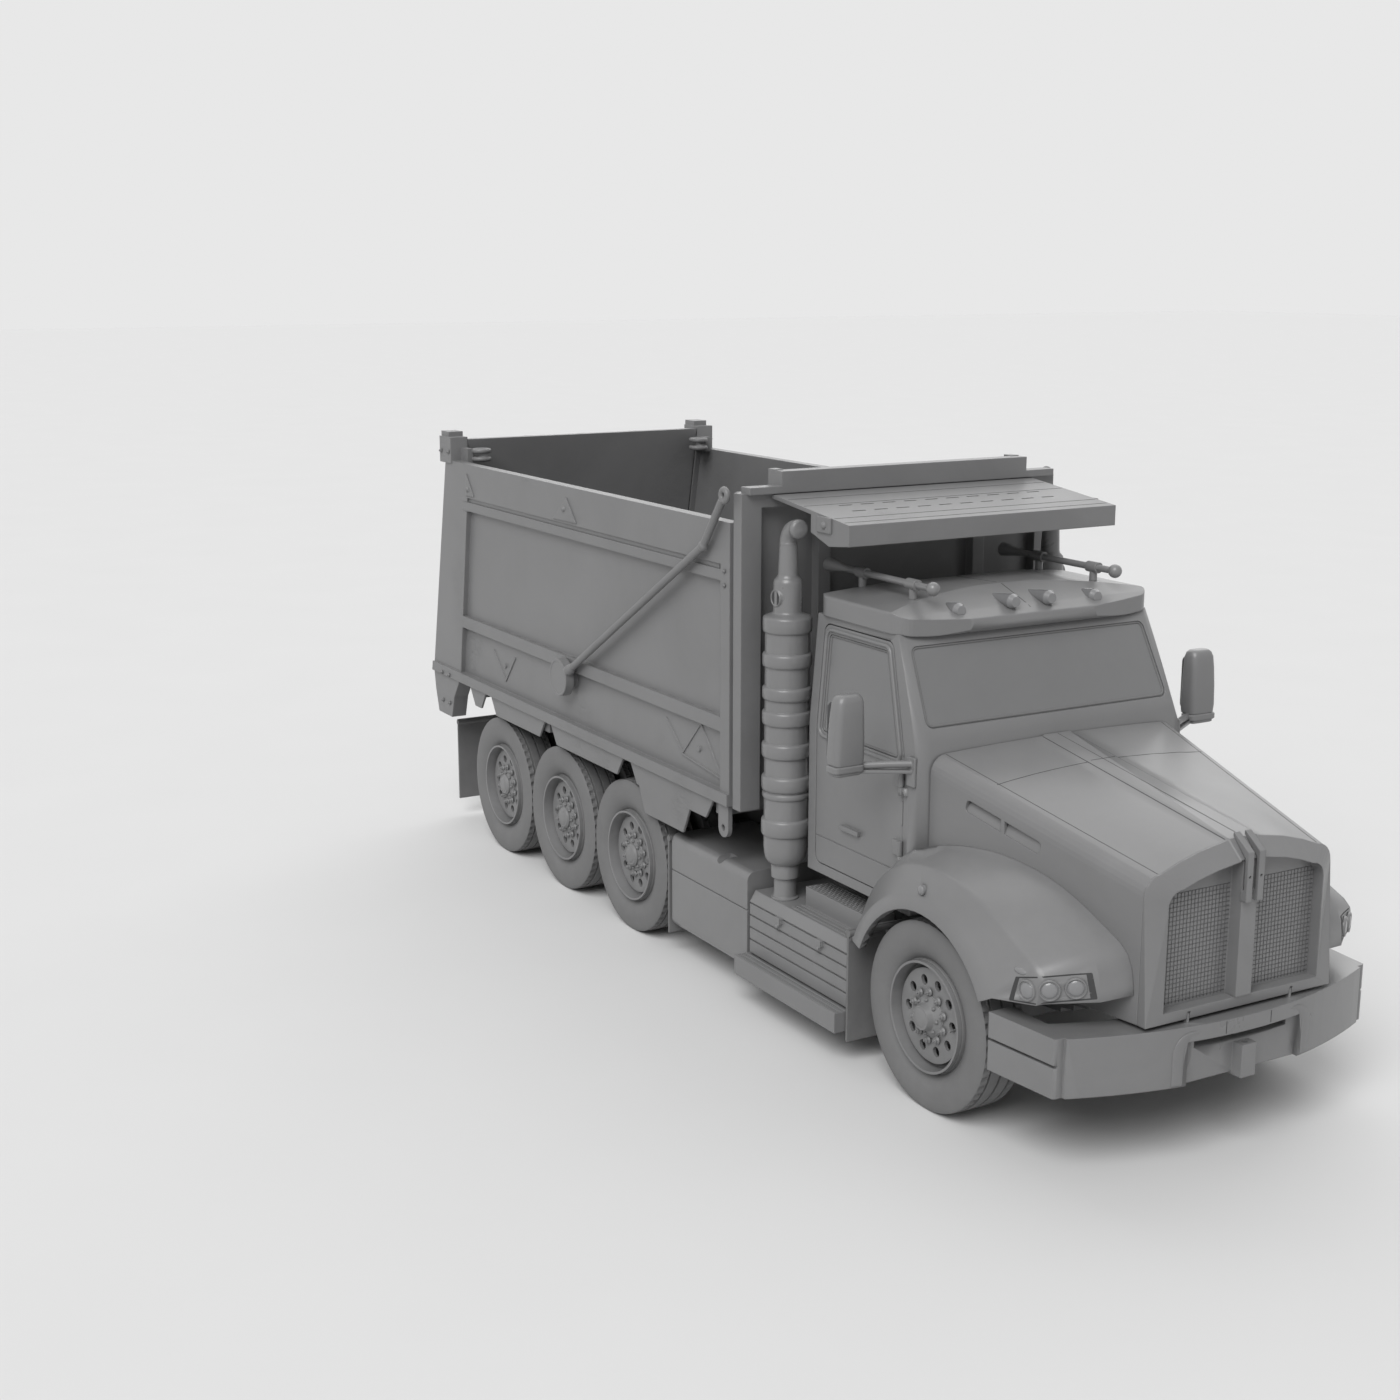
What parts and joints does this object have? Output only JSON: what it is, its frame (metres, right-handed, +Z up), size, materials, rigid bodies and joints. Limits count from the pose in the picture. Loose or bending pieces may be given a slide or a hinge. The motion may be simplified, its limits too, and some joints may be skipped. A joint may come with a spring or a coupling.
{
  "type": "dump truck",
  "caption": "Conventional-cab dump truck with tilting hood, steering front axle, twin-wheel rear axles, tipping steel body on a hoist, top-hung tailgate and tarp arms.",
  "frame": {"origin": "on the ground under the middle of the truck's box", "axes": "+X forward, +Y to the driver's left, +Z up"},
  "size_m": [8.35, 2.876, 3.425],
  "materials": {
    "tyre": "matte",
    "rim": "satin",
    "pane": null,
    "chassis": "satin",
    "cabin_trim": "matte",
    "flap": "matte",
    "lamp": "gloss",
    "bright": "satin",
    "body_steel": "satin",
    "cab_paint": "satin"
  },
  "bodies": {
    "chassis": {"frame": "chassis", "front_axle": "chassis", "rear_axles": "chassis", "suspension": "chassis", "driveline": "chassis", "engine": "chassis", "radiator": "chassis", "cab_shell": "cab_paint", "cab_roof": "cab_paint", "cab_glass": "pane", "seats": "cabin_trim", "dashboard": "cabin_trim", "steering_wheel": "cabin_trim", "bumper": "bright", "air_horns": "bright", "roof_lamps": "lamp", "mirrors": "cab_paint", "exhaust_stacks": "bright", "fuel_tanks": "bright", "step_boxes": "cab_paint", "mud_flaps": "flap", "tail_lamps": "lamp"},
    "hood": {"hood": "cab_paint", "fenders": "cab_paint", "grille_shell": "cab_paint", "grille": "bright", "headlamps": "lamp"},
    "bed": {"bed_floor": "body_steel", "bed_sides": "body_steel", "bed_front_wall": "body_steel", "cab_shield": "body_steel"},
    "tailgate": {"tailgate": "body_steel"},
    "hoist_barrel": {"hoist_barrel": "chassis"},
    "hoist_rod": {"hoist_rod": "bright"},
    "door_right": {"door_right": "cab_paint", "door_glass_right": "pane"},
    "tarp_arm_right": {"tarp_arm_right": "body_steel"},
    "knuckle_right": {"knuckle_right": "chassis"},
    "front_wheel_right": {"front_tyre_right": "tyre", "front_rim_right": "rim"},
    "rear_wheels_right_1": {"rear_tyres_right_1": "tyre", "rear_rims_right_1": "rim"},
    "rear_wheels_right_2": {"rear_tyres_right_2": "tyre", "rear_rims_right_2": "rim"},
    "rear_wheels_right_3": {"rear_tyres_right_3": "tyre", "rear_rims_right_3": "rim"},
    "door_left": {"door_left": "cab_paint", "door_glass_left": "pane"},
    "tarp_arm_left": {"tarp_arm_left": "body_steel"},
    "knuckle_left": {"knuckle_left": "chassis"},
    "front_wheel_left": {"front_tyre_left": "tyre", "front_rim_left": "rim"},
    "rear_wheels_left_1": {"rear_tyres_left_1": "tyre", "rear_rims_left_1": "rim"},
    "rear_wheels_left_2": {"rear_tyres_left_2": "tyre", "rear_rims_left_2": "rim"},
    "rear_wheels_left_3": {"rear_tyres_left_3": "tyre", "rear_rims_left_3": "rim"}
  },
  "joints": [
    {"name": "hood_tilt", "type": "hinge", "parent": "chassis", "child": "hood", "pos_m": [4.072, 0, 0.845], "axis": [0, 1, 0], "range_deg": [0, 75]},
    {"name": "bed_tip", "type": "hinge", "parent": "chassis", "child": "bed", "pos_m": [-3.845, 0, 1.085], "axis": [0, -1, 0], "range_deg": [0, 45]},
    {"name": "tailgate_swing", "type": "hinge", "parent": "bed", "child": "tailgate", "pos_m": [-3.6985, 0, 3.212], "axis": [0, 1, 0], "range_deg": [0, 70]},
    {"name": "hoist_swing", "type": "hinge", "parent": "chassis", "child": "hoist_barrel", "pos_m": [-1.445, 0, 0.84], "axis": [0, 1, 0], "range_deg": [0, 23.3]},
    {"name": "hoist_stroke", "type": "slide", "parent": "hoist_barrel", "child": "hoist_rod", "axis": [-0.9781, 0, 0.2079], "range_m": [0, 0.6812]},
    {"name": "door_right_swing", "type": "hinge", "parent": "chassis", "child": "door_right", "pos_m": [2.3685, -0.996, 1.75], "axis": [0, 0, 1], "range_deg": [0, 60]},
    {"name": "steer_right", "type": "hinge", "parent": "chassis", "child": "knuckle_right", "pos_m": [2.836, -0.926, 0.548], "axis": [0, 0, 1], "range_deg": [-35, 35]},
    {"name": "front_wheel_right_spin", "type": "hinge", "parent": "knuckle_right", "child": "front_wheel_right", "pos_m": [2.836, -0.996, 0.548], "axis": [0, 1, 0], "continuous": true},
    {"name": "tarp_arm_right_swing", "type": "hinge", "parent": "bed", "child": "tarp_arm_right", "pos_m": [-1.545, -1.26, 1.7], "axis": [0, -1, 0], "range_deg": [0, 105]},
    {"name": "rear_wheels_right_1_spin", "type": "hinge", "parent": "chassis", "child": "rear_wheels_right_1", "pos_m": [-0.687, -0.86, 0.548], "axis": [0, 1, 0], "continuous": true},
    {"name": "rear_wheels_right_2_spin", "type": "hinge", "parent": "chassis", "child": "rear_wheels_right_2", "pos_m": [-1.795, -0.86, 0.548], "axis": [0, 1, 0], "continuous": true},
    {"name": "rear_wheels_right_3_spin", "type": "hinge", "parent": "chassis", "child": "rear_wheels_right_3", "pos_m": [-2.903, -0.86, 0.548], "axis": [0, 1, 0], "continuous": true},
    {"name": "door_left_swing", "type": "hinge", "parent": "chassis", "child": "door_left", "pos_m": [2.3685, 0.996, 1.75], "axis": [0, 0, -1], "range_deg": [0, 60]},
    {"name": "steer_left", "type": "hinge", "parent": "chassis", "child": "knuckle_left", "pos_m": [2.836, 0.926, 0.548], "axis": [0, 0, 1], "range_deg": [-35, 35]},
    {"name": "front_wheel_left_spin", "type": "hinge", "parent": "knuckle_left", "child": "front_wheel_left", "pos_m": [2.836, 0.996, 0.548], "axis": [0, 1, 0], "continuous": true},
    {"name": "tarp_arm_left_swing", "type": "hinge", "parent": "bed", "child": "tarp_arm_left", "pos_m": [-1.545, 1.26, 1.7], "axis": [0, -1, 0], "range_deg": [0, 105]},
    {"name": "rear_wheels_left_1_spin", "type": "hinge", "parent": "chassis", "child": "rear_wheels_left_1", "pos_m": [-0.687, 0.86, 0.548], "axis": [0, 1, 0], "continuous": true},
    {"name": "rear_wheels_left_2_spin", "type": "hinge", "parent": "chassis", "child": "rear_wheels_left_2", "pos_m": [-1.795, 0.86, 0.548], "axis": [0, 1, 0], "continuous": true},
    {"name": "rear_wheels_left_3_spin", "type": "hinge", "parent": "chassis", "child": "rear_wheels_left_3", "pos_m": [-2.903, 0.86, 0.548], "axis": [0, 1, 0], "continuous": true}
  ],
  "couplings": [
    {"joint": "hoist_swing", "follows": "bed_tip", "ratio": 0.516},
    {"joint": "hoist_stroke", "follows": "bed_tip", "m_per_rad": 0.867},
    {"joint": "steer_left", "follows": "steer_right", "ratio": 1},
    {"joint": "tarp_arm_left_swing", "follows": "tarp_arm_right_swing", "ratio": 1}
  ]
}
